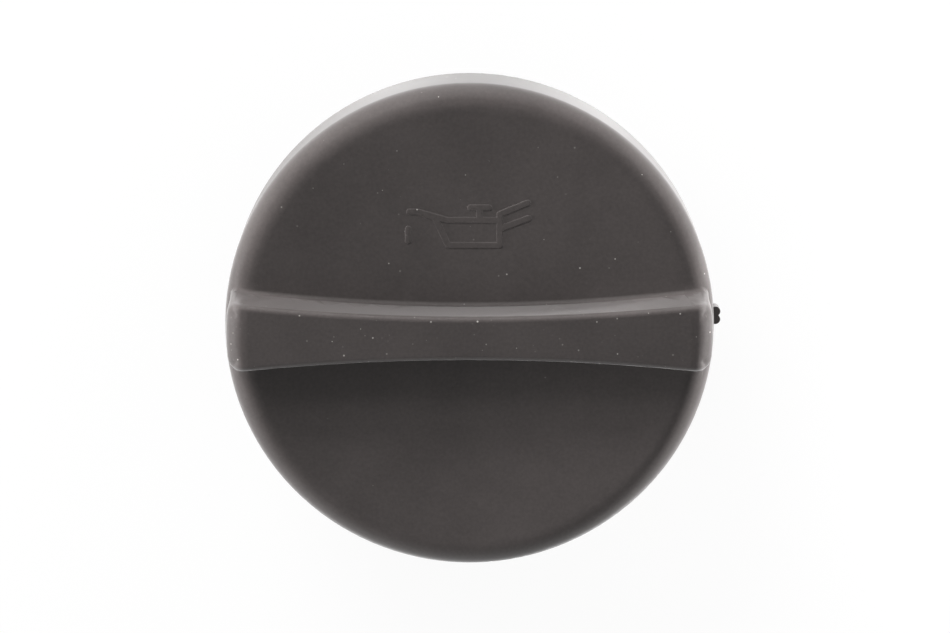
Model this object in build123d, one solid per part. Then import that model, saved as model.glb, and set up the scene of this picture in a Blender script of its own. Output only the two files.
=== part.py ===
from build123d import *
import math
import os

# Oil filler cap: one moulding with a waisted grip bar and a bayonet stem, and a rubber seal ring.
# Millimetres and degrees. The origin is on the cap's axis, in the plane where the seal meets the neck.
# +Z points up out of the neck. +X runs along the grip bar, towards the gate stub.

# Head: the hollowed face, its rounded rim and the skirt
cap_diameter = 60.0
skirt_height = 12.2  # from the skirt's lower edge up to the plane of the rim
skirt_wall = 2.2
skirt_draft = 1.0  # degrees, the outside of the skirt widens towards its lower edge
rim_rounding = 2.9
rim_land = 0.4  # flat land between the rounding and the dish
dish_depth = 1.4  # how far the middle of the face lies below the plane of the rim
face_wall = 2.0  # thickness of the wall at the middle of the face
edge_break = 0.4  # bevel of the skirt's lower edge

# Grip bar across the face, narrow at its waist and wide at both ends
grip_height = 5.4  # above the plane of the rim
grip_waist_top = 5.3
grip_waist_foot = 5.45  # at the plane of the rim
grip_end_top = 8.5  # the end widths are taken at the cap's own radius
grip_end_foot = 10.3
grip_end_inset = 0.5  # from the skirt's wall in to the ends of the bar
grip_nose_rounding = 2.0  # where the top of the bar turns down at its ends
grip_edge_rounding = 0.7
core_wall = 1.7  # wall left round the pockets under the bar
core_ledge = 0.4  # from the walls below the face in to the sides of a pocket

# Seal ring, and the guide ring that keeps it centred
seal_thickness = 3.2
seal_width = 4.5
seal_clearance = 0.3  # between the seal and the walls beside it
seal_stand_out = 1.6  # from the guide ring's edge down to the sealing plane
guide_wall = 1.4

# Stem that reaches into the neck
stem_diameter = 34.0
stem_wall = 2.4
stem_reach = 20.0  # from the sealing plane down to the stem's open end
stem_lead_in = 1.0

# Bayonet lugs, each with a ramp at its leading end and a stop at the other
lug_count = 2
lug_reach = 3.0  # out from the stem's wall
lug_width = 14.0
lug_thickness = 4.0
lug_drop = 9.0  # from the sealing plane down to a lug's holding face
lug_lead_in = 0.8
ramp_rise = 1.2
ramp_run = 6.0
stop_width = 2.0
stop_height = 3.0

# Stiffening ribs between the guide ring and the skirt
rib_count = 12
rib_thickness = 1.2

# Stub of the moulding gate on the skirt, broken off in two small humps
gate_reach = 1.2  # out from the skirt's wall
gate_hump_radius = 0.6
gate_pitch = 1.0
gate_height = 2.2
gate_rise = 0.4  # from the skirt's lower edge up to the stub

# Radii and heights that follow from the sizes above
cap_radius = cap_diameter / 2
skirt_bore = cap_radius - skirt_wall
draft_slope = math.tan(math.radians(skirt_draft))
rim_radius = cap_radius - skirt_height * draft_slope
stem_radius = stem_diameter / 2
stem_bore = stem_radius - stem_wall
seal_bore = stem_radius + seal_clearance
seal_radius = seal_bore + seal_width
guide_bore = seal_radius + seal_clearance
guide_radius = guide_bore + guide_wall
lug_radius = stem_radius + lug_reach
grip_end_radius = rim_radius - grip_end_inset

underside_z = seal_thickness
face_z = underside_z + face_wall
rim_z = face_z + dish_depth
skirt_z = rim_z - skirt_height
grip_top_z = rim_z + grip_height
grip_root_z = face_z - face_wall / 2
guide_z = seal_stand_out
stem_z = -stem_reach
lug_top_z = -lug_drop
lug_bottom_z = lug_top_z - lug_thickness


def corner(section, r, z):
    """The corner of a half section nearest to radius r and height z."""
    return section.vertices().sort_by_distance((r, z))[0]


def dish():
    """Large ball whose lowest part hollows the face."""
    dish_radius = rim_radius - rim_rounding - rim_land
    ball_radius = (dish_radius**2 + dish_depth**2) / (2 * dish_depth)
    # The ball lies on its side, which keeps its poles away from the face
    return Pos(0, 0, face_z + ball_radius) * Rot(90, 0, 0) * Sphere(ball_radius)


def head():
    """Everything that is round about the axis: face, rim, skirt, guide ring and stem."""
    outline = Polyline(
        (0, rim_z),
        (rim_radius, rim_z),
        (cap_radius, skirt_z),
        (skirt_bore, skirt_z),
        (skirt_bore, underside_z),
        (guide_radius, underside_z),
        (guide_radius, guide_z),
        (guide_bore, guide_z),
        (guide_bore, underside_z),
        (stem_radius, underside_z),
        (stem_radius, stem_z),
        (stem_bore, stem_z),
        (stem_bore, underside_z),
        (0, underside_z),
        close=True,
    )
    section = make_face(outline)
    section = fillet(corner(section, rim_radius, rim_z), rim_rounding)
    section = chamfer(corner(section, cap_radius, skirt_z), edge_break)
    section = chamfer(corner(section, stem_radius, stem_z), stem_lead_in)
    # Turned from the YZ plane, so that the seam of the round faces stays off the ends of the grip bar
    return revolve(Plane.YZ * section, Axis.Z) - dish()


def grip_outline(z, inset):
    """Waisted outline of the grip bar at height z, drawn in by inset on its long sides."""
    share = (z - rim_z) / grip_height
    waist = grip_waist_foot + (grip_waist_top - grip_waist_foot) * share
    end = grip_end_foot + (grip_end_top - grip_end_foot) * share
    half_waist = waist / 2 - inset
    half_end = end / 2 - inset
    north = ThreePointArc((-cap_radius, half_end), (0, half_waist), (cap_radius, half_end))
    south = ThreePointArc((cap_radius, -half_end), (0, -half_waist), (-cap_radius, -half_end))
    outline = [north, Line(north @ 1, south @ 0), south, Line(south @ 1, north @ 0)]
    return Plane.XY.offset(z) * make_face(outline)


def grip_form(bottom_z, inset=0.0):
    """Drafted, waisted bar whose ends follow the skirt, drawn in by inset all round."""
    top_z = grip_top_z - inset
    bar = loft([grip_outline(bottom_z, inset), grip_outline(top_z, inset)], ruled=True)
    height = top_z - bottom_z
    puck = Pos(0, 0, bottom_z) * extrude(Circle(grip_end_radius - inset), height)
    nose = grip_nose_rounding - inset
    if nose > 0:
        puck = fillet(puck.edges().sort_by(Axis.Z)[-1], nose)
    return bar & puck


def grip_bar():
    """The grip bar with its long edges and its end corners rounded."""
    bar = grip_form(grip_root_z)
    by_side = bar.faces().sort_by(Axis.Y)
    flank_edges = by_side[0].edges() + by_side[-1].edges()
    upper_edges = [edge for edge in flank_edges if edge.center().Z > face_z]
    return fillet(upper_edges, grip_edge_rounding)


def grip_pockets():
    """Pockets that core the bar from below, inside the stem and between guide ring and skirt."""
    bottom_z = underside_z - core_ledge
    inner = Circle(stem_bore - core_ledge)
    outer = Circle(skirt_bore - core_ledge) - Circle(guide_radius + core_ledge)
    reach = Pos(0, 0, bottom_z) * extrude(inner + outer, grip_top_z - bottom_z)
    return grip_form(bottom_z, core_wall) & reach


def ribs():
    """Radial ribs that tie the guide ring to the skirt, set clear of the grip bar's ends."""
    inner = guide_radius - guide_wall / 2
    outer = skirt_bore + skirt_wall / 2
    height = underside_z - guide_z + face_wall / 2
    rib = Pos((inner + outer) / 2, 0, guide_z + height / 2) * Box(outer - inner, rib_thickness, height)
    pitch = 360 / rib_count
    return [Rot(0, 0, (index + 0.5) * pitch) * rib for index in range(rib_count)]


def lugs():
    """Bayonet lugs: a ramp leads under the neck's cam, and a stop ends the turn."""
    lead = -lug_width / 2
    tail = lug_width / 2
    side = Polyline(
        (lead + lug_lead_in, lug_bottom_z),
        (lead, lug_bottom_z + lug_lead_in),
        (lead, lug_top_z - ramp_rise),
        (lead + ramp_run, lug_top_z),
        (tail - stop_width, lug_top_z),
        (tail - stop_width, lug_top_z + stop_height),
        (tail, lug_top_z + stop_height),
        (tail, lug_bottom_z + lug_lead_in),
        (tail - lug_lead_in, lug_bottom_z),
        close=True,
    )
    block = extrude(Plane.YZ * make_face(side), lug_radius)
    ring = Circle(lug_radius) - Circle(stem_radius - stem_wall / 2)
    lug = block & Pos(0, 0, stem_z) * extrude(ring, stem_reach)
    return [Rot(0, 0, index * 360 / lug_count) * lug for index in range(lug_count)]


def gate_stub():
    """Two small humps left where the moulding gate was broken off."""
    inner = cap_radius - skirt_wall / 2
    outer = cap_radius + gate_reach - gate_hump_radius
    hump = Pos((inner + outer) / 2, 0) * SlotCenterToCenter(outer - inner, 2 * gate_hump_radius)
    stub = Pos(0, gate_pitch / 2) * hump + Pos(0, -gate_pitch / 2) * hump
    return Pos(0, 0, skirt_z + gate_rise) * extrude(stub, gate_height)


def cap_body():
    """The whole moulding."""
    return head() + ribs() + lugs() + gate_stub() + grip_bar() - grip_pockets()


def seal_ring():
    """Flat rubber ring, cut square and seated against the underside of the face."""
    return extrude(Circle(seal_radius) - Circle(seal_bore), seal_thickness)


os.makedirs("parts", exist_ok=True)
export_step(cap_body(), "parts/cap_body.step")
export_step(seal_ring(), "parts/seal_ring.step")
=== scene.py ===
import math

import bmesh
import bpy
from bpy.props import FloatProperty, FloatVectorProperty, IntProperty, PointerProperty
from mathutils import Matrix, Vector
from mathutils.bvhtree import BVHTree
from mathutils.geometry import delaunay_2d_cdt


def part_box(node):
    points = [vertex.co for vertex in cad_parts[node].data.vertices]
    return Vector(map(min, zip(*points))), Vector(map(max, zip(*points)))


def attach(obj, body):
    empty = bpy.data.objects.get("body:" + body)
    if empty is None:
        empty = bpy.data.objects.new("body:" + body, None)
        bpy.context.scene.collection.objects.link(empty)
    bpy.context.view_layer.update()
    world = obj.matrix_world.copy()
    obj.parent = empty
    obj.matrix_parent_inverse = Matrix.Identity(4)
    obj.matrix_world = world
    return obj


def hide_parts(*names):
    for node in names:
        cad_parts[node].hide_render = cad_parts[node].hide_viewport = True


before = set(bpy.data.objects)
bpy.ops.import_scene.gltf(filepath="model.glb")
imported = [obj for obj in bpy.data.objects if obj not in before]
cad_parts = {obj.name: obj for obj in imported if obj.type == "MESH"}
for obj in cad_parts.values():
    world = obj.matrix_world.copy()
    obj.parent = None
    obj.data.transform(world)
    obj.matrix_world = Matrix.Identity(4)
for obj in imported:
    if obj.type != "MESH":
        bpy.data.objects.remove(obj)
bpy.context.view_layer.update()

bl_info = {
    "name": "Oil Filler Cap",
    "version": (1, 0, 0),
    "blender": (4, 5, 0),
    "location": "3D View > Sidebar > Filler Cap",
    "description": "Dresses an oil filler cap: its moulding, the sign on its face, its seal and a stage",
    "category": "Object",
}

# The cap's frame, in metres: +Z up out of the neck, +X along the grip bar, +Y towards the sign
MM = 0.001
BODY_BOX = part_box("cap_body")
SEAL_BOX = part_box("seal_ring")
FLOOR_Z = BODY_BOX[0].z
GRIP_HEIGHT = 5.4 * MM
RIM_Z = BODY_BOX[1].z - GRIP_HEIGHT
BODY = "root"
MOULDING = "cap_moulding"

# Points closer than these are one point: where facets meet, and where a cut passes by a corner
WELD = 0.0002 * MM
SNAP = 0.005 * MM
# An edge is crisp from this turn on
SHARP_ANGLE = math.radians(35.0)
# The foot of the grip bar is a hollow edge of at least this turn, beside a face that looks up this far
FOOT_ANGLE = math.radians(20.0)
FACE_UPWARD = 0.3

# The grip bar stands within this distance of the plane through its middle, and the sign outside it
BAR_SIDE = 7.0 * MM
# Roundings that the grip bar has in the solid, along its edges and where its top turns down at its ends
EDGE_ROUNDING = 0.7 * MM
NOSE_ROUNDING = 2.0 * MM
# Cuts across the larger roundings that the grip bar gets, at its noses and at its upright corners
NOSE_CUTS = 14
CORNER_CUTS = 10

# Depth of the grain in both finishes, and the part of its slow tone that changes a finish
GRAIN_DEPTH = 0.01 * MM
TONE_LOW = 0.3
TONE_HIGH = 0.7

# The photograph's frame
IMAGE_WIDTH = 950
SENSOR_WIDTH = 36.0

# Soft lamps: name, azimuth from +Y towards +X and elevation in degrees, then in metres the distance,
# width and height, and the share of the lamp power
LAMPS = (
    ("strip_north", 0.0, 0.8, 0.8, 0.4, 0.04, 1.3),
    ("bank_north", 0.0, 4.0, 0.8, 0.4, 0.08, 0.15),
    ("bank_west", -90.0, 4.0, 0.8, 0.4, 0.08, 2.0),
    ("floor_east", 90.0, -9.0, 0.13, 0.08, 0.012, 0.08),
    ("floor_west", -90.0, -6.0, 0.15, 0.08, 0.014, 0.025),
    ("window_north", -20.0, 24.0, 0.8, 0.4, 0.16, 0.76),
    ("window_north_east", 50.0, 22.0, 0.8, 0.4, 0.16, 0.16),
    ("window_high", -30.0, 40.0, 0.8, 0.4, 0.16, 0.36),
)

# Centre lines of the sign's raised strokes, in millimetres on the face
SIGN_STROKES = (
    ((-7.25, 14.4), (-6.3, 14.4), (-2.7, 13.35), (3.65, 13.35)),
    ((-4.2, 13.75), (-2.6, 10.25), (3.65, 10.25), (3.65, 14.1), (7.0, 15.5)),
    ((3.9, 12.35), (7.1, 13.6)),
    ((0.1, 14.9), (2.35, 14.9)),
    ((1.2, 14.9), (1.2, 13.35)),
    ((-7.4, 12.3), (-7.4, 10.8)),
)


class CapMouldingSettings(bpy.types.PropertyGroup):
    """Sizes and finish of the moulded plastic body"""

    foot_radius: FloatProperty(
        name="Foot radius",
        description="Rounding where the grip bar stands on the face",
        default=0.8 * MM,
        subtype="DISTANCE",
        unit="LENGTH",
    )
    foot_segments: IntProperty(
        name="Foot segments",
        description="Steps across the rounding at the foot",
        default=6,
        min=2,
    )
    nose_radius: FloatProperty(
        name="Nose radius",
        description="Rounding where the top of the grip bar turns down at its ends",
        default=2.9 * MM,
        subtype="DISTANCE",
        unit="LENGTH",
    )
    end_radius: FloatProperty(
        name="End radius",
        description="Rounding of the grip bar's upright corners, seen from above",
        default=1.8 * MM,
        subtype="DISTANCE",
        unit="LENGTH",
    )
    colour: FloatVectorProperty(
        name="Plastic",
        description="Colour of the moulded plastic",
        default=(0.061, 0.053, 0.0515, 1.0),
        size=4,
        min=0.0,
        max=1.0,
        subtype="COLOR",
    )
    tone_change: FloatProperty(
        name="Tone change",
        description="How far the colour goes darker and lighter from place to place",
        default=0.15,
        min=0.0,
        max=1.0,
        subtype="FACTOR",
    )
    roughness: FloatProperty(
        name="Roughness",
        description="Mean roughness of the moulded plastic",
        default=0.35,
        min=0.0,
        max=1.0,
        subtype="FACTOR",
    )
    roughness_change: FloatProperty(
        name="Roughness change",
        description="How far the roughness goes below and above its mean",
        default=0.03,
        min=0.0,
        max=1.0,
        subtype="FACTOR",
    )
    sheen: FloatProperty(
        name="Sheen",
        description="Pale haze of fine dust, seen at a low angle",
        default=0.3,
        min=0.0,
        max=1.0,
        subtype="FACTOR",
    )
    sheen_roughness: FloatProperty(
        name="Sheen roughness",
        description="How far that haze spreads from the lowest angles",
        default=0.35,
        min=0.0,
        max=1.0,
        subtype="FACTOR",
    )
    grain_size: FloatProperty(
        name="Grain size",
        description="Width of one grain of the eroded mould's texture",
        default=0.16 * MM,
        subtype="DISTANCE",
        unit="LENGTH",
    )
    grain_relief: FloatProperty(
        name="Grain relief",
        description="How strongly the grain stands out",
        default=0.25,
        min=0.0,
        max=1.0,
        subtype="FACTOR",
    )
    dust_spacing: FloatProperty(
        name="Dust spacing",
        description="Distance between places that may hold a speck",
        default=0.625 * MM,
        subtype="DISTANCE",
        unit="LENGTH",
    )
    dust_size: FloatProperty(
        name="Dust size",
        description="Radius of the largest specks, as a share of their spacing",
        default=0.24,
        min=0.0,
        max=1.0,
        subtype="FACTOR",
    )
    dust_colour: FloatVectorProperty(
        name="Dust",
        description="Colour of the pale specks on the face",
        default=(0.55, 0.53, 0.50, 1.0),
        size=4,
        min=0.0,
        max=1.0,
        subtype="COLOR",
    )


class CapSignSettings(bpy.types.PropertyGroup):
    """Sizes of the raised sign on the face"""

    line_width: FloatProperty(
        name="Line width",
        description="Width of a raised line at half its height",
        default=0.68 * MM,
        subtype="DISTANCE",
        unit="LENGTH",
    )
    line_height: FloatProperty(
        name="Line height",
        description="How far a line stands out of the face",
        default=0.09 * MM,
        subtype="DISTANCE",
        unit="LENGTH",
    )
    line_draft: FloatProperty(
        name="Line draft",
        description="How far each side of a line leans in from its foot to its top",
        default=0.16 * MM,
        subtype="DISTANCE",
        unit="LENGTH",
    )


class CapSealSettings(bpy.types.PropertyGroup):
    """Sizes and finish of the seal ring"""

    edge_radius: FloatProperty(
        name="Edge radius",
        description="Rounding of the ring's edges",
        default=0.5 * MM,
        subtype="DISTANCE",
        unit="LENGTH",
    )
    steps: IntProperty(
        name="Steps",
        description="Steps round the ring",
        default=160,
        min=16,
    )
    colour: FloatVectorProperty(
        name="Rubber",
        description="Colour of the rubber",
        default=(0.020, 0.020, 0.021, 1.0),
        size=4,
        min=0.0,
        max=1.0,
        subtype="COLOR",
    )
    roughness: FloatProperty(
        name="Roughness",
        description="Mean roughness of the rubber",
        default=0.73,
        min=0.0,
        max=1.0,
        subtype="FACTOR",
    )
    roughness_change: FloatProperty(
        name="Roughness change",
        description="How far the roughness goes below and above its mean",
        default=0.05,
        min=0.0,
        max=1.0,
        subtype="FACTOR",
    )
    grain_relief: FloatProperty(
        name="Grain relief",
        description="How strongly the grain stands out",
        default=0.2,
        min=0.0,
        max=1.0,
        subtype="FACTOR",
    )
    dust_colour: FloatVectorProperty(
        name="Dust",
        description="Colour of the specks on the rubber",
        default=(0.3, 0.29, 0.28, 1.0),
        size=4,
        min=0.0,
        max=1.0,
        subtype="COLOR",
    )


class CapStageSettings(bpy.types.PropertyGroup):
    """Camera, lamps and floor"""

    camera_distance: FloatProperty(
        name="Camera distance",
        description="From the plane of the rim to the camera",
        default=350.0 * MM,
        subtype="DISTANCE",
        unit="LENGTH",
    )
    camera_tilt: FloatProperty(
        name="Camera tilt",
        description="Lean of the camera from the cap's axis towards the sign",
        default=math.radians(11.3),
        subtype="ANGLE",
        unit="ROTATION",
    )
    pixels_per_radian: FloatProperty(
        name="Focal length in pixels",
        description="Focal length in pixels of the photograph's frame",
        default=2888.5,
    )
    aim: FloatVectorProperty(
        name="Aim",
        description="Where the camera points, to the right of the axis and above it in the picture",
        default=(0.66 * MM, 1.69 * MM),
        size=2,
        subtype="XYZ",
        unit="LENGTH",
    )
    lamp_power: FloatProperty(
        name="Lamp power",
        description="Power of a lamp with a share of 1, in watts",
        default=5.0,
        min=0.0,
    )
    fill_level: FloatProperty(
        name="Fill level",
        description="Light from the surroundings near the horizon, where 1 is white",
        default=0.05,
        min=0.0,
    )
    fill_overhead: FloatProperty(
        name="Fill overhead",
        description="Light from the surroundings overhead, where 1 is white",
        default=0.51,
        min=0.0,
    )
    ceiling_level: FloatProperty(
        name="Ceiling level",
        description="Brightness of the surroundings overhead as gloss mirrors it, where 1 is white",
        default=0.25,
        min=0.0,
    )


def new_object(name, data):
    """A new object with a mesh, a lamp or a lens as its data, linked to the scene."""
    made = bpy.data.objects.new(name, data)
    bpy.context.scene.collection.objects.link(made)
    return made


def mesh_from(name, bm):
    """A mesh made from a bmesh, which is freed."""
    mesh = bpy.data.meshes.new(name)
    bm.to_mesh(mesh)
    bm.free()
    return mesh


def node_form(node):
    """The closed form of a CAD node as a bmesh, with its facets welded."""
    bm = bmesh.new()
    bm.from_mesh(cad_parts[node].data)
    bmesh.ops.remove_doubles(bm, verts=bm.verts, dist=WELD)
    bm.normal_update()
    return bm


def enclosed(mesh):
    """Volume that a closed mesh holds."""
    bm = bmesh.new()
    bm.from_mesh(mesh)
    volume = bm.calc_volume(signed=True)
    bm.free()
    return volume


def join_to(body, tool, crossing=False):
    """Joins a closed tool object, whose own sides may be crossing, to the body, and removes the tool."""
    body.modifiers.clear()
    # The join is worked out in millimetres, since it fails on lengths near the rounding error of metres
    for piece in (body, tool):
        piece.data.transform(Matrix.Scale(1.0 / MM, 4))
    union = body.modifiers.new("union", "BOOLEAN")
    union.operation = "UNION"
    union.solver = "EXACT"
    union.use_self = crossing
    union.object = tool
    graph = bpy.context.evaluated_depsgraph_get()
    skin = bpy.data.meshes.new_from_object(body.evaluated_get(graph))
    if enclosed(skin) < enclosed(body.data):
        raise RuntimeError("the join lost a part of " + body.name)
    body.modifiers.clear()
    skin.transform(Matrix.Scale(MM, 4))
    skin.name = body.name
    finish = body.data.materials[0]
    skin.materials.clear()
    skin.materials.append(finish)
    body.data = skin
    bpy.data.objects.remove(tool)


def shade_moulded(piece):
    """Smooth shading with crisp edges where the form turns sharply."""
    form = bmesh.new()
    form.from_mesh(piece.data)
    for f in form.faces:
        f.smooth = True
    for edge in form.edges:
        edge.smooth = edge.calc_face_angle(0.0) < SHARP_ANGLE
    form.to_mesh(piece.data)
    form.free()
    weighted = piece.modifiers.new("even_normals", "WEIGHTED_NORMAL")
    weighted.keep_sharp = True
    weighted.weight = 100


def foot_edges(bm):
    """Edges where the grip bar stands on the face, each with the bar's side and the face beside it."""
    found = []
    for edge in bm.edges:
        by_bar = all(abs(v.co.y) < BAR_SIDE for v in edge.verts)
        on_face = by_bar and all(SEAL_BOX[1].z < v.co.z < RIM_Z + WELD for v in edge.verts)
        if not on_face or edge.calc_face_angle_signed(0.0) > -FOOT_ANGLE:
            continue
        wall, face = sorted(edge.link_faces, key=lambda f: f.normal.z)
        if face.normal.z > FACE_UPWARD:
            found.append((edge, wall, face))
    return found


def foot_loop(bm):
    """Corners round the foot of the grip bar in order, each with its wall and face normals."""
    sides = {}
    links = {}
    for edge, wall, face in foot_edges(bm):
        for v in edge.verts:
            links.setdefault(v, []).append(edge.other_vert(v))
            sides.setdefault(v, []).append((wall.normal.copy(), face.normal.copy()))
    start = min(links, key=lambda v: (v.co.x, v.co.y))
    loop = [start]
    while len(loop) < 3 or start not in links[loop[-1]]:
        ahead = [v for v in links[loop[-1]] if v not in loop[-2:]]
        if not ahead or len(loop) > len(links):
            raise RuntimeError("the foot of the grip bar isn't one closed line")
        loop.append(ahead[0])
    corners = []
    for v in loop:
        wall = sum((w for w, f in sides[v]), Vector()).normalized()
        face = sum((f for w, f in sides[v]), Vector())
        # The face is round about the axis, so its true normal points straight away from or to the axis
        away = v.co.xy.normalized()
        lean = away * face.xy.dot(away)
        corners.append((v.co.copy(), wall, Vector((lean.x, lean.y, face.z)).normalized()))
    return corners


def face_height_at(corners, radius):
    """Height of the face at a distance from the axis, read between the corners of the bar's foot."""
    steps = sorted((corner.xy.length, corner.z) for corner, wall, face in corners)
    for (near, z_near), (far, z_far) in zip(steps, steps[1:]):
        if near < far and near <= radius <= far:
            return z_near + (z_far - z_near) * (radius - near) / (far - near)
    return steps[0][1] if radius < steps[0][0] else steps[-1][1]


def bar_skin(bm):
    """Faces of the grip bar's outside, from its top down to its foot."""
    foot = {edge for edge, wall, face in foot_edges(bm)}
    skin = [max(bm.faces, key=lambda f: f.calc_center_median().z)]
    known = set(skin)
    for f in skin:
        for edge in f.edges:
            beside = [other for other in edge.link_faces if edge not in foot and other not in known]
            skin.extend(beside)
            known.update(beside)
    return skin


def cut_skin(bm, faces, at, across):
    """Cuts faces by a plane, with their points and edges taken in a fixed order."""
    verts = dict.fromkeys(v for f in faces for v in f.verts)
    edges = dict.fromkeys(e for f in faces for e in f.edges)
    bmesh.ops.bisect_plane(bm, geom=[*verts, *edges, *faces], dist=SNAP, plane_co=at, plane_no=across)


def settle_cuts(bm):
    """Leaves only sound triangles after a round of cuts."""
    bmesh.ops.dissolve_degenerate(bm, edges=bm.edges, dist=SNAP)
    bmesh.ops.triangulate(bm, faces=[f for f in bm.faces if len(f.verts) > 3])
    bm.normal_update()


def surplus(first, second, radius, rounding):
    """Share of its way from a corner's hub that a point lies outside a round corner of that radius.

    The corner that is there has its own, smaller rounding, taken as a circle's formula of a higher power.
    """
    diagonal = radius - rounding * (1.0 - math.sqrt(0.5))
    power = math.log(2.0) / math.log(radius / diagonal)
    reached = (first**power + second**power) ** (1.0 / power)
    return 1.0 - reached / math.hypot(first, second)


def round_bar_noses(bm, radius):
    """Gives the bar a larger rounding where its top turns down at both ends."""
    skin = bar_skin(bm)
    top = max(v.co.z for f in skin for v in f.verts)
    reach = max(v.co.xy.length for f in skin for v in f.verts)

    def in_nose(at, side):
        return at.x * side > 0.0 and at.xy.length > reach - radius and at.z > top - radius

    for side in (-1.0, 1.0):
        hub = Vector((side * (reach - radius), 0.0, top - radius))
        for cut in range(NOSE_CUTS + 1):
            angle = 0.5 * math.pi * cut / NOSE_CUTS
            near = [f for f in bar_skin(bm) if any(in_nose(v.co, side) for v in f.verts)]
            cut_skin(bm, near, hub, (side * math.sin(angle), 0.0, -math.cos(angle)))
    settle_cuts(bm)
    for v in {v for f in bar_skin(bm) for v in f.verts}:
        outward = v.co.xy.length - reach + radius
        upward = v.co.z - top + radius
        if min(outward, upward) > 0.0:
            share = surplus(outward, upward, radius, NOSE_ROUNDING)
            v.co.xy -= share * outward * v.co.xy.normalized()
            v.co.z -= share * upward
    bm.normal_update()


class UprightCorner:
    """One upright corner of the grip bar, between a flank and the end beside it"""

    def __init__(self, seat, flank, reach, radius):
        self.seat = seat
        self.flank = flank
        self.reach = reach
        self.radius = radius
        self.hub = (seat - flank * radius).xy.normalized() * (reach - radius)

    def from_hub(self, at):
        """How far a point lies from the rounding's axis, towards the flank and towards the end."""
        return self.radius - (self.seat - at).dot(self.flank), at.xy.length - self.reach + self.radius

    def holds(self, at):
        """Whether a point of the bar's skin lies within the rounding."""
        return at.xy.dot(self.hub) > 0.0 and min(self.from_hub(at)) > 0.0

    def cut_fan(self, bm):
        """Cuts the skin by upright planes that fan out from the rounding's axis."""
        out = self.hub.normalized()
        aside = self.flank.xy.normalized()
        for cut in range(CORNER_CUTS + 1):
            angle = 0.5 * math.pi * cut / CORNER_CUTS
            along = out * math.cos(angle) + aside * math.sin(angle)
            faces = [f for f in bar_skin(bm) if any(self.holds(v.co) for v in f.verts)]
            cut_skin(bm, faces, self.hub.to_3d(), (along.y, -along.x, 0.0))

    def draw_in(self, vert, strength):
        """Moves a point of the skin straight in, so that the corner's square plan turns round."""
        to_flank, to_end = self.from_hub(vert.co)
        share = strength * surplus(to_flank, to_end, self.radius, EDGE_ROUNDING)
        aside = self.flank.xy.normalized()
        vert.co.xy -= share * (to_flank * aside + to_end * vert.co.xy.normalized())


def round_bar_ends(bm, radius):
    """Rounds the four upright corners of the grip bar, where its flanks meet its ends."""
    corners = foot_loop(bm)
    reach = max(corner.xy.length for corner, wall, face in corners)
    uprights = []
    for side_x, side_y in ((-1, -1), (-1, 1), (1, -1), (1, 1)):
        own = [c for c in corners if c[0].x * side_x > 0 and c[0].y * side_y > 0]
        seat, flank, face = min(own, key=lambda c: abs(c[0].xy.length - reach + radius))
        uprights.append(UprightCorner(seat, flank, reach, radius))
    for upright in uprights:
        upright.cut_fan(bm)
    settle_cuts(bm)
    # The foot stays on the face, and the corner grows rounder up to this height above it
    full_rise = 2.0 * radius
    skin = {v for f in bar_skin(bm) for v in f.verts}
    for upright in uprights:
        for v in [v for v in skin if upright.holds(v.co)]:
            rise = v.co.z - face_height_at(corners, v.co.xy.length)
            upright.draw_in(v, min(max(rise / full_rise, 0.0), 1.0))
    bm.normal_update()


def skin_rings(bm, rings):
    """Closes a row of rings that runs back into itself, with its faces turned outward."""
    for ring, after in zip(rings, rings[1:] + rings[:1]):
        for step in range(len(ring)):
            beside = (step + 1) % len(ring)
            bm.faces.new((ring[step], ring[beside], after[beside], after[step]))
    bmesh.ops.recalc_face_normals(bm, faces=bm.faces)


def foot_bead(corners, radius, segments):
    """Closed bead that fills the corner at the foot of the bar with a hollow rounding."""
    # The rounding runs this far into the wall and the face, and the bead's back lies this deep inside
    sink = 0.03 * MM
    buried = 0.25 * MM
    bm = bmesh.new()
    rings = []
    for corner, wall, face in corners:
        centre = corner + (wall + face) * radius / (1.0 + wall.dot(face))
        ring = []
        for step in range(segments + 1):
            normal = wall.slerp(face, step / segments)
            ring.append(bm.verts.new(centre - normal * (radius + sink)))
        ring.append(bm.verts.new(corner - (wall + face).normalized() * buried))
        rings.append(ring)
    skin_rings(bm, rings)
    return mesh_from("foot_bead", bm)


def seal_form(settings):
    """The seal ring, turned from its square section with rounded edges."""
    rounds = 4
    low, high = SEAL_BOX
    outer = high.x
    inner = min(v.co.xy.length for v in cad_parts["seal_ring"].data.vertices)
    edge = settings.edge_radius
    section = []
    for r, z, turn in (
        (outer - edge, high.z - edge, 0.0),
        (inner + edge, high.z - edge, 0.5),
        (inner + edge, low.z + edge, 1.0),
        (outer - edge, low.z + edge, 1.5),
    ):
        for step in range(rounds + 1):
            angle = math.pi * (turn + 0.5 * step / rounds)
            section.append((r + edge * math.cos(angle), z + edge * math.sin(angle)))
    bm = bmesh.new()
    rings = []
    for index in range(settings.steps):
        angle = 2.0 * math.pi * index / settings.steps
        ring = [bm.verts.new((r * math.cos(angle), r * math.sin(angle), z)) for r, z in section]
        rings.append(ring)
    skin_rings(bm, rings)
    return mesh_from("rubber_seal", bm)


def stroke_outline(start, end, half_width):
    """Outline of one straight stroke with round ends, in order."""
    rounds = 8
    along = end - start
    outline = []
    for centre, turn in ((end, -math.pi / 2), (start, math.pi / 2)):
        for step in range(rounds + 1):
            angle = math.atan2(along.y, along.x) + turn + math.pi * step / rounds
            outline.append(centre + half_width * Vector((math.cos(angle), math.sin(angle))))
    return outline


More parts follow.
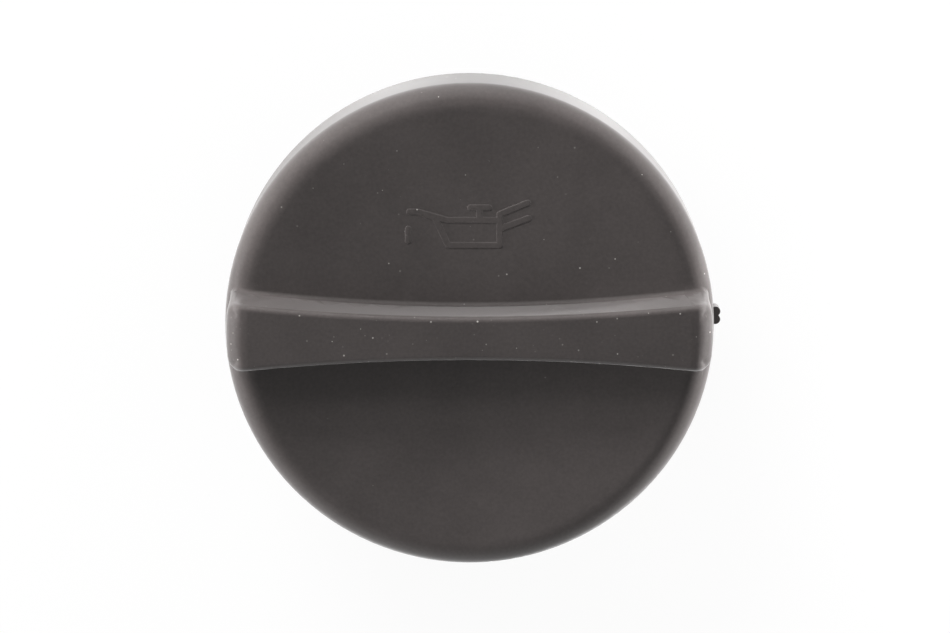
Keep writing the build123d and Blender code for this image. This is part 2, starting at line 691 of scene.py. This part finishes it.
def sign_plan(half_width):
    """All strokes of the sign merged in the flat: points and triangles, in millimetres."""
    points = []
    outlines = []
    for stroke in SIGN_STROKES:
        centres = [Vector(centre) for centre in stroke]
        for start, end in zip(centres, centres[1:]):
            outline = stroke_outline(start, end, half_width)
            outlines.append(range(len(points), len(points) + len(outline)))
            points.extend(outline)
    inside_only = 1
    closeness = 0.002
    merged = delaunay_2d_cdt(points, [], [list(o) for o in outlines], inside_only, closeness)
    places, triangles, covering = merged[0], merged[2], merged[5]
    return places, [triangle for triangle, strokes in zip(triangles, covering) if strokes]


def plan_border(points, triangles):
    """Border edges of the merged plan, and the way out at each of their points."""
    sides = {(t[i], t[(i + 1) % 3]) for t in triangles for i in range(3)}
    border = [(a, b) for a, b in sides if (b, a) not in sides]
    outward = {}
    for a, b in border:
        along = (points[b] - points[a]).normalized()
        for point in (a, b):
            outward.setdefault(point, []).append(Vector((along.y, -along.x)))
    return border, {p: (n[0] + n[1]) / (1.0 + n[0].dot(n[1])) for p, n in outward.items()}


def sign_form(settings, face_height):
    """The sign as one closed form with leaning sides, its foot sunk into the face."""
    sunk = 0.15 * MM
    # Height at which a line's sides bend over to its top, as a share of its own height
    bend = 0.75
    # The leaning sides run on to a little below the face, so that no edge lies on it
    foot_dip = 0.01 * MM
    half_width = (settings.line_width - settings.line_draft) / 2
    points, triangles = sign_plan(half_width / MM)
    border, outward = plan_border(points, triangles)
    levels = (
        (settings.line_height, 0.0),
        (settings.line_height * bend, settings.line_draft / 2),
        (-foot_dip, settings.line_draft),
        (-sunk, settings.line_draft),
    )
    bm = bmesh.new()
    layers = []
    for rise, reach in levels:
        layer = []
        for index, point in enumerate(points):
            at = point * MM + outward.get(index, Vector((0.0, 0.0))) * reach
            layer.append(bm.verts.new((at.x, at.y, face_height(at) + rise)))
        layers.append(layer)
    for triangle in triangles:
        bm.faces.new([layers[0][index] for index in triangle])
        bm.faces.new([layers[-1][index] for index in reversed(triangle)])
    for upper, lower in zip(layers, layers[1:]):
        for a, b in border:
            bm.faces.new((upper[b], upper[a], lower[a], lower[b]))
    loose = [v for v in bm.verts if not v.link_faces]
    bmesh.ops.delete(bm, geom=loose, context="VERTS")
    return mesh_from("sign", bm)


def new_group(name, inputs, outputs):
    """A shader node group with named sockets, and its input and output nodes."""
    group = bpy.data.node_groups.new(name, "ShaderNodeTree")
    for label, kind, default in inputs:
        socket = group.interface.new_socket(label, in_out="INPUT", socket_type=kind)
        if default is not None:
            socket.default_value = default
    for label, kind in outputs:
        group.interface.new_socket(label, in_out="OUTPUT", socket_type=kind)
    return group, group.nodes.new("NodeGroupInput"), group.nodes.new("NodeGroupOutput")


def feed(tree, value, socket):
    """Links another node's socket to the input, or sets the input to a plain value."""
    if isinstance(value, bpy.types.NodeSocket):
        tree.links.new(value, socket)
    else:
        socket.default_value = value


def add_math(tree, operation, first, second=None, third=None, clamp=False):
    """A math node whose inputs are sockets or numbers. Its output socket comes back."""
    node = tree.nodes.new("ShaderNodeMath")
    node.operation = operation
    node.use_clamp = clamp
    for socket, value in zip(node.inputs, (first, second, third)):
        if value is not None:
            feed(tree, value, socket)
    return node.outputs["Value"]


def add_noise(tree, place, scale, detail, roughness):
    """A noise texture at the place on the surface. Its value comes back."""
    noise = tree.nodes.new("ShaderNodeTexNoise")
    noise.inputs["Detail"].default_value = detail
    noise.inputs["Roughness"].default_value = roughness
    feed(tree, place, noise.inputs["Vector"])
    feed(tree, scale, noise.inputs["Scale"])
    return noise.outputs["Fac"]


def grain_group():
    """Texture of an eroded mould: a fine height, a mottle of small pits and a slow change of tone."""
    if "moulded_grain" in bpy.data.node_groups:
        return bpy.data.node_groups["moulded_grain"]
    group, given, put = new_group(
        "moulded_grain",
        (("Vector", "NodeSocketVector", None), ("Scale", "NodeSocketFloat", 6000.0)),
        (("Height", "NodeSocketFloat"), ("Mottle", "NodeSocketFloat"), ("Tone", "NodeSocketFloat")),
    )
    coarser = 0.4
    tone_scale = 110.0
    place = given.outputs["Vector"]
    fine = given.outputs["Scale"]
    coarse = add_math(group, "MULTIPLY", fine, coarser)
    height = add_noise(group, place, fine, detail=3.0, roughness=0.6)
    mottle = add_noise(group, place, coarse, detail=2.0, roughness=0.6)
    tone = add_noise(group, place, tone_scale, detail=4.0, roughness=0.55)
    group.links.new(height, put.inputs["Height"])
    group.links.new(mottle, put.inputs["Mottle"])
    group.links.new(tone, put.inputs["Tone"])
    return group


def dust_group():
    """Small pale specks: some cells of a scatter hold a speck each, of its own size and strength."""
    if "settled_dust" in bpy.data.node_groups:
        return bpy.data.node_groups["settled_dust"]
    group, given, put = new_group(
        "settled_dust",
        (
            ("Vector", "NodeSocketVector", None),
            ("Scale", "NodeSocketFloat", 700.0),
            ("Size", "NodeSocketFloat", 0.12),
            ("Amount", "NodeSocketFloat", 0.1),
        ),
        (("Mask", "NodeSocketFloat"),),
    )
    # A speck is plain within its rim, and the higher the rarity is, the fewer specks are strong
    rim_gain = 2.5
    rarity = 9.0
    cells = group.nodes.new("ShaderNodeTexVoronoi")
    group.links.new(given.outputs["Vector"], cells.inputs["Vector"])
    group.links.new(given.outputs["Scale"], cells.inputs["Scale"])
    # A cell's own colour tells where its point lies, so the draw comes from a noise of that colour
    lot = group.nodes.new("ShaderNodeTexWhiteNoise")
    group.links.new(cells.outputs["Color"], lot.inputs["Vector"])
    draw = group.nodes.new("ShaderNodeSeparateColor")
    group.links.new(lot.outputs["Color"], draw.inputs["Color"])
    held = add_math(group, "LESS_THAN", draw.outputs["Red"], given.outputs["Amount"])
    reach = add_math(group, "MULTIPLY", given.outputs["Size"], draw.outputs["Green"])
    share = add_math(group, "DIVIDE", cells.outputs["Distance"], reach)
    spot = add_math(group, "SUBTRACT", 1.0, share, clamp=True)
    soft = add_math(group, "MULTIPLY", spot, rim_gain, clamp=True)
    strength = add_math(group, "POWER", draw.outputs["Blue"], rarity)
    mask = add_math(group, "MULTIPLY", add_math(group, "MULTIPLY", soft, held), strength)
    group.links.new(mask, put.inputs["Mask"])
    return group


def new_material(name):
    """A new node material, its tree and its Principled shader."""
    material = bpy.data.materials.new(name)
    material.use_nodes = True
    return material, material.node_tree, material.node_tree.nodes["Principled BSDF"]


def object_place(tree):
    """The place on the surface, in the object's own coordinates."""
    return tree.nodes.new("ShaderNodeTexCoord").outputs["Object"]


def add_group(tree, group, place, **values):
    """A group's node in a material, fed with the place on the surface and its own values."""
    node = tree.nodes.new("ShaderNodeGroup")
    node.node_tree = group
    feed(tree, place, node.inputs["Vector"])
    for label, value in values.items():
        feed(tree, value, node.inputs[label])
    return node


def add_range(tree, value, low, high, to_low, to_high):
    """Maps a value from one range to another."""
    node = tree.nodes.new("ShaderNodeMapRange")
    node.inputs["From Min"].default_value = low
    node.inputs["From Max"].default_value = high
    node.inputs["To Min"].default_value = to_low
    node.inputs["To Max"].default_value = to_high
    tree.links.new(value, node.inputs["Value"])
    return node.outputs["Result"]


def add_mix(tree, factor, first, second):
    """Mixes two colours, each a socket or a plain colour."""
    node = tree.nodes.new("ShaderNodeMix")
    node.data_type = "RGBA"
    tree.links.new(factor, node.inputs["Factor"])
    for label, colour in (("A", first), ("B", second)):
        feed(tree, colour, next(s for s in node.inputs if s.name == label and s.type == "RGBA"))
    return next(s for s in node.outputs if s.type == "RGBA")


def shade_of(colour, share):
    """The colour made darker or lighter by a share."""
    return tuple(min(c * share, 1.0) for c in colour[:3]) + (1.0,)


def dust_amount(tree, place):
    """How much dust lies on the cap: most on the grip bar, some on the sign's side, little elsewhere."""
    little, some, most = 0.01, 0.3, 1.0
    near_side, sign_side = -4.0 * MM, 2.0 * MM
    bar_foot, bar_top = RIM_Z + 1.0 * MM, RIM_Z + 4.0 * MM
    where = tree.nodes.new("ShaderNodeSeparateXYZ")
    tree.links.new(place, where.inputs["Vector"])
    on_face = add_range(tree, where.outputs["Y"], near_side, sign_side, little, some)
    on_bar = add_range(tree, where.outputs["Z"], bar_foot, bar_top, 0.0, most)
    return add_math(tree, "MAXIMUM", on_face, on_bar)


def roughen(tree, shader, grain, settings):
    """Uneven roughness and a fine relief, both from the grain."""
    low = settings.roughness - settings.roughness_change
    high = settings.roughness + settings.roughness_change
    rough = add_range(tree, grain.outputs["Tone"], TONE_LOW, TONE_HIGH, low, high)
    tree.links.new(rough, shader.inputs["Roughness"])
    bump = tree.nodes.new("ShaderNodeBump")
    bump.inputs["Strength"].default_value = settings.grain_relief
    bump.inputs["Distance"].default_value = GRAIN_DEPTH
    tree.links.new(grain.outputs["Height"], bump.inputs["Height"])
    tree.links.new(bump.outputs["Normal"], shader.inputs["Normal"])


def plastic_material(settings):
    """Dark warm-grey plastic with an eroded grain, uneven tone, a dusty sheen and specks of dust."""
    material, tree, shader = new_material("cap_plastic_moulded")
    shader.inputs["Specular IOR Level"].default_value = 0.5
    shader.inputs["Sheen Weight"].default_value = settings.sheen
    shader.inputs["Sheen Roughness"].default_value = settings.sheen_roughness
    place = object_place(tree)
    grain = add_group(tree, grain_group(), place, Scale=1.0 / settings.grain_size)
    # The tone and the mottle each lie round a half, so their sum lies round one
    mean, spread = 1.0, 0.3
    tone = add_math(tree, "ADD", grain.outputs["Tone"], grain.outputs["Mottle"])
    share = add_range(tree, tone, mean - spread, mean + spread, 0.0, 1.0)
    darker = shade_of(settings.colour, 1.0 - settings.tone_change)
    lighter = shade_of(settings.colour, 1.0 + settings.tone_change)
    dust = add_group(
        tree,
        dust_group(),
        place,
        Scale=1.0 / settings.dust_spacing,
        Size=settings.dust_size,
        Amount=dust_amount(tree, place),
    )
    clean = add_mix(tree, share, darker, lighter)
    colour = add_mix(tree, dust.outputs["Mask"], clean, tuple(settings.dust_colour))
    tree.links.new(colour, shader.inputs["Base Color"])
    roughen(tree, shader, grain, settings)
    return material


def rubber_material(settings):
    """Matt black rubber with a faint mould grain and a little dust."""
    material, tree, shader = new_material("seal_rubber_matt")
    shader.inputs["Specular IOR Level"].default_value = 0.25
    place = object_place(tree)
    grain = add_group(tree, grain_group(), place, Scale=9000.0)
    tone = add_range(tree, grain.outputs["Tone"], TONE_LOW, TONE_HIGH, 0.0, 1.0)
    darker = shade_of(settings.colour, 0.85)
    lighter = shade_of(settings.colour, 1.3)
    dust = add_group(tree, dust_group(), place, Scale=900.0, Size=0.14, Amount=0.06)
    clean = add_mix(tree, tone, darker, lighter)
    colour = add_mix(tree, dust.outputs["Mask"], clean, tuple(settings.dust_colour))
    tree.links.new(colour, shader.inputs["Base Color"])
    roughen(tree, shader, grain, settings)
    return material


class FILLERCAP_OT_mould_body(bpy.types.Operator):
    """Makes the moulded body from its solid"""

    bl_idname = "filler_cap.mould_body"
    bl_label = "Mould the Body"

    def execute(self, context):
        settings = context.scene.cap_moulding
        body = new_object(MOULDING, mesh_from(MOULDING, node_form("cap_body")))
        body.data.materials.append(plastic_material(settings))
        shade_moulded(body)
        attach(body, BODY)
        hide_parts("cap_body")
        return {"FINISHED"}


class FILLERCAP_OT_raise_sign(bpy.types.Operator):
    """Raises the lines of the oil can sign on the face of the moulded body"""

    bl_idname = "filler_cap.raise_sign"
    bl_label = "Raise the Sign"

    def execute(self, context):
        settings = context.scene.cap_sign
        form = node_form("cap_body")
        face = BVHTree.FromBMesh(form)
        form.free()

        def face_height(at):
            hit = face.ray_cast(Vector((at.x, at.y, BODY_BOX[1].z)), Vector((0.0, 0.0, -1.0)))[0]
            if hit is None:
                raise RuntimeError("a line of the sign lies off the face")
            return hit.z

        body = bpy.data.objects[MOULDING]
        join_to(body, new_object("sign", sign_form(settings, face_height)), crossing=True)
        shade_moulded(body)
        return {"FINISHED"}


class FILLERCAP_OT_round_grip(bpy.types.Operator):
    """Rounds the grip bar's ends, and the foot on which it stands on the face"""

    bl_idname = "filler_cap.round_grip"
    bl_label = "Round the Grip"

    def execute(self, context):
        settings = context.scene.cap_moulding
        body = bpy.data.objects[MOULDING]
        form = bmesh.new()
        form.from_mesh(body.data)
        round_bar_noses(form, settings.nose_radius)
        round_bar_ends(form, settings.end_radius)
        bead = foot_bead(foot_loop(form), settings.foot_radius, settings.foot_segments)
        form.to_mesh(body.data)
        form.free()
        join_to(body, new_object("foot_bead", bead))
        shade_moulded(body)
        return {"FINISHED"}


class FILLERCAP_OT_fit_seal(bpy.types.Operator):
    """Fits the rubber seal ring, with rounded edges"""

    bl_idname = "filler_cap.fit_seal"
    bl_label = "Fit the Seal"

    def execute(self, context):
        settings = context.scene.cap_seal
        seal = new_object("rubber_seal", seal_form(settings))
        seal.data.materials.append(rubber_material(settings))
        shade_moulded(seal)
        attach(seal, BODY)
        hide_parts("seal_ring")
        return {"FINISHED"}


def seen_rays(tree):
    """One for rays from the camera and for mirrored or refracted rays, and zero for the rest."""
    path = tree.nodes.new("ShaderNodeLightPath")
    seen = add_math(tree, "MAXIMUM", path.outputs["Is Camera Ray"], path.outputs["Is Glossy Ray"])
    return add_math(tree, "MAXIMUM", seen, path.outputs["Is Transmission Ray"])


def white_floor():
    """A white floor that keeps a soft shadow."""
    radius = 3.0
    # Seen rays meet this share of plain white, and the rest of the floor keeps the shadow
    plain_white = 0.92
    bm = bmesh.new()
    bmesh.ops.create_circle(bm, cap_ends=True, segments=96, radius=radius)
    floor = new_object("studio_floor", mesh_from("studio_floor", bm))
    floor.location.z = FLOOR_Z
    material, tree, shader = new_material("floor_white")
    shader.inputs["Base Color"].default_value = (0.85, 0.85, 0.85, 1.0)
    shader.inputs["Roughness"].default_value = 0.9
    shader.inputs["Specular IOR Level"].default_value = 0.0
    glow = tree.nodes.new("ShaderNodeEmission")
    mix = tree.nodes.new("ShaderNodeMixShader")
    share = add_math(tree, "MULTIPLY", seen_rays(tree), plain_white)
    tree.links.new(share, mix.inputs["Fac"])
    tree.links.new(shader.outputs["BSDF"], mix.inputs[1])
    tree.links.new(glow.outputs["Emission"], mix.inputs[2])
    tree.links.new(mix.outputs["Shader"], tree.nodes["Material Output"].inputs["Surface"])
    floor.data.materials.append(material)


def white_surroundings(scene, settings):
    """A world that gives a soft fill, and is seen as white round the horizon and dim overhead."""
    world = bpy.data.worlds.new("studio_white")
    world.use_nodes = True
    tree = world.node_tree
    way = tree.nodes.new("ShaderNodeSeparateXYZ")
    tree.links.new(tree.nodes.new("ShaderNodeTexCoord").outputs["Generated"], way.inputs["Vector"])
    white_to = math.sin(math.radians(20.0))
    dim_from = math.sin(math.radians(50.0))
    height = way.outputs["Z"]
    look = add_range(tree, height, white_to, dim_from, 1.0, settings.ceiling_level)
    fill = add_range(tree, height, white_to, dim_from, settings.fill_level, settings.fill_overhead)
    over_fill = add_math(tree, "SUBTRACT", look, fill)
    strength = add_math(tree, "MULTIPLY_ADD", seen_rays(tree), over_fill, fill)
    back = tree.nodes["Background"]
    back.inputs["Color"].default_value = (1.0, 1.0, 1.0, 1.0)
    tree.links.new(strength, back.inputs["Strength"])
    scene.world = world


def soft_lamp(name, aim, azimuth, elevation, distance, width, height, power):
    """A rectangular lamp, placed by its azimuth from +Y towards +X and its elevation above the aim."""
    level = distance * math.cos(elevation)
    rise = distance * math.sin(elevation)
    place = aim + Vector((level * math.sin(azimuth), level * math.cos(azimuth), rise))
    lamp = bpy.data.lights.new(name, "AREA")
    lamp.shape = "RECTANGLE"
    lamp.size = width
    lamp.size_y = height
    lamp.energy = power
    made = new_object(name, lamp)
    made.location = place
    made.rotation_euler = (aim - place).to_track_quat("-Z", "Y").to_euler()
    made.visible_camera = False
    made.visible_glossy = False


class FILLERCAP_OT_set_stage(bpy.types.Operator):
    """Sets the camera, the lamps, the white floor and the white surroundings"""

    bl_idname = "filler_cap.set_stage"
    bl_label = "Set the Stage"

    def execute(self, context):
        scene = context.scene
        settings = scene.cap_stage
        scene.view_settings.view_transform = "Standard"
        tilt = settings.camera_tilt
        back = Vector((0.0, math.sin(tilt), math.cos(tilt)))
        up = Vector((0.0, math.cos(tilt), -math.sin(tilt)))
        target = Vector((0.0, 0.0, RIM_Z))
        lens = bpy.data.cameras.new("photo_camera")
        lens.sensor_width = SENSOR_WIDTH
        lens.lens = settings.pixels_per_radian * SENSOR_WIDTH / IMAGE_WIDTH
        lens.clip_start = 10.0 * MM
        camera = new_object("photo_camera", lens)
        camera.location = target + back * settings.camera_distance
        aim = target + Vector((settings.aim[0], 0.0, 0.0)) + up * settings.aim[1]
        away = (camera.location - aim).normalized()
        right = up.cross(away).normalized()
        camera.rotation_euler = Matrix((right, away.cross(right), away)).transposed().to_euler()
        scene.camera = camera
        white_floor()
        white_surroundings(scene, settings)
        for name, azimuth, elevation, distance, width, height, share in LAMPS:
            way = math.radians(azimuth), math.radians(elevation)
            soft_lamp(name, target, *way, distance, width, height, settings.lamp_power * share)
        return {"FINISHED"}


class FILLERCAP_PT_sidebar(bpy.types.Panel):
    """Lists the steps that dress the cap"""

    bl_label = "Filler Cap"
    bl_idname = "FILLERCAP_PT_sidebar"
    bl_space_type = "VIEW_3D"
    bl_region_type = "UI"
    bl_category = "Filler Cap"

    def draw(self, context):
        for operator in STEPS:
            self.layout.operator(operator.bl_idname)


STEPS = (
    FILLERCAP_OT_mould_body,
    FILLERCAP_OT_raise_sign,
    FILLERCAP_OT_round_grip,
    FILLERCAP_OT_fit_seal,
    FILLERCAP_OT_set_stage,
)
SETTINGS = {
    "cap_moulding": CapMouldingSettings,
    "cap_sign": CapSignSettings,
    "cap_seal": CapSealSettings,
    "cap_stage": CapStageSettings,
}


def register():
    for settings in SETTINGS.values():
        bpy.utils.register_class(settings)
    for label, settings in SETTINGS.items():
        setattr(bpy.types.Scene, label, PointerProperty(type=settings))
    for operator in STEPS:
        bpy.utils.register_class(operator)
    bpy.utils.register_class(FILLERCAP_PT_sidebar)


def unregister():
    bpy.utils.unregister_class(FILLERCAP_PT_sidebar)
    for operator in reversed(STEPS):
        bpy.utils.unregister_class(operator)
    for label, settings in SETTINGS.items():
        delattr(bpy.types.Scene, label)
        bpy.utils.unregister_class(settings)


def main():
    register()
    bpy.ops.filler_cap.mould_body()
    bpy.ops.filler_cap.raise_sign()
    bpy.ops.filler_cap.round_grip()
    bpy.ops.filler_cap.fit_seal()
    bpy.ops.filler_cap.set_stage()


if __name__ == "__main__":
    main()
